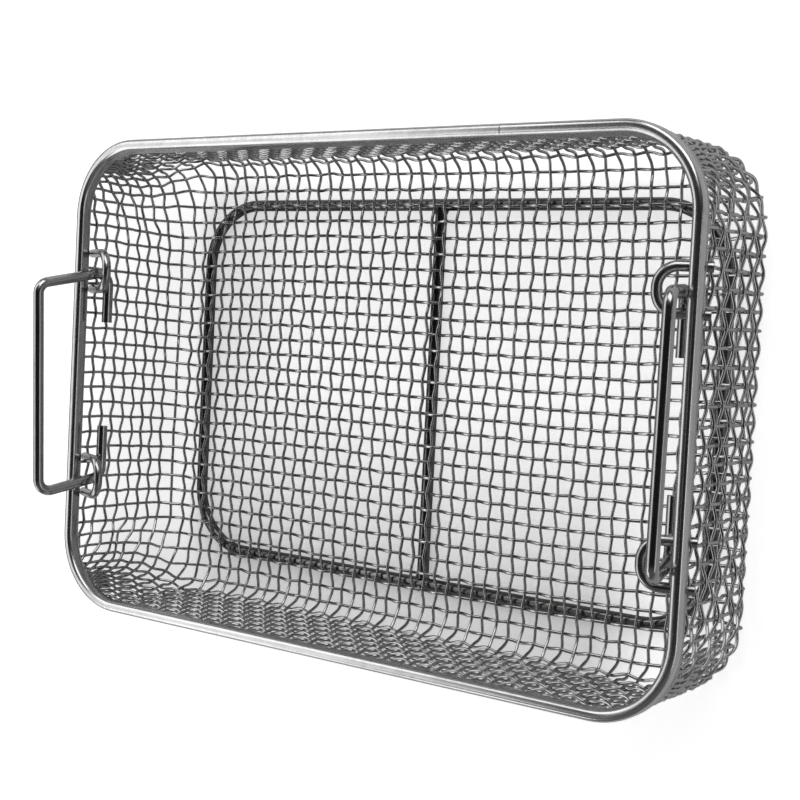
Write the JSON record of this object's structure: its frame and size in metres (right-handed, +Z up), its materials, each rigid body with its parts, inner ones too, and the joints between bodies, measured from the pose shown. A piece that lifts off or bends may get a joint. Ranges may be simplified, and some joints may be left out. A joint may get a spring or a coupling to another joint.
{
  "type": "wire mesh storage basket",
  "caption": "Rectangular woven steel wire mesh basket with round corners, a folded strip rim, a rod base frame and a swinging wire bail at each short end.",
  "frame": {"origin": "on the ground under the middle of the basket", "axes": "+X along the long side, +Y along the short side, +Z up out of the open top"},
  "size_m": [0.3026, 0.2036, 0.0907],
  "materials": {
    "rim_steel": "polished strip with fine lengthwise lines",
    "mesh_steel": "drawn wire, dull grey",
    "frame_steel": "dark drawn rod",
    "bail_steel": "polished rod"
  },
  "bodies": {
    "basket": {"rim_band": "rim_steel", "mesh_basket": "mesh_steel", "base_frame": "frame_steel", "base_cross_bar": "frame_steel", "eyelet_left_front": "bail_steel", "eyelet_left_rear": "bail_steel", "eyelet_right_front": "bail_steel", "eyelet_right_rear": "bail_steel"},
    "left_handle": {"bail_left": "bail_steel"},
    "right_handle": {"bail_right": "bail_steel"}
  },
  "joints": [
    {"name": "left_handle_swing", "type": "hinge", "parent": "basket", "child": "left_handle", "pos_m": [-0.14, 0, 0.05746], "axis": [0, 1, 0], "range_deg": [0, 32]},
    {"name": "right_handle_swing", "type": "hinge", "parent": "basket", "child": "right_handle", "pos_m": [0.14, 0, 0.05746], "axis": [0, -1, 0], "range_deg": [0, 32]}
  ]
}
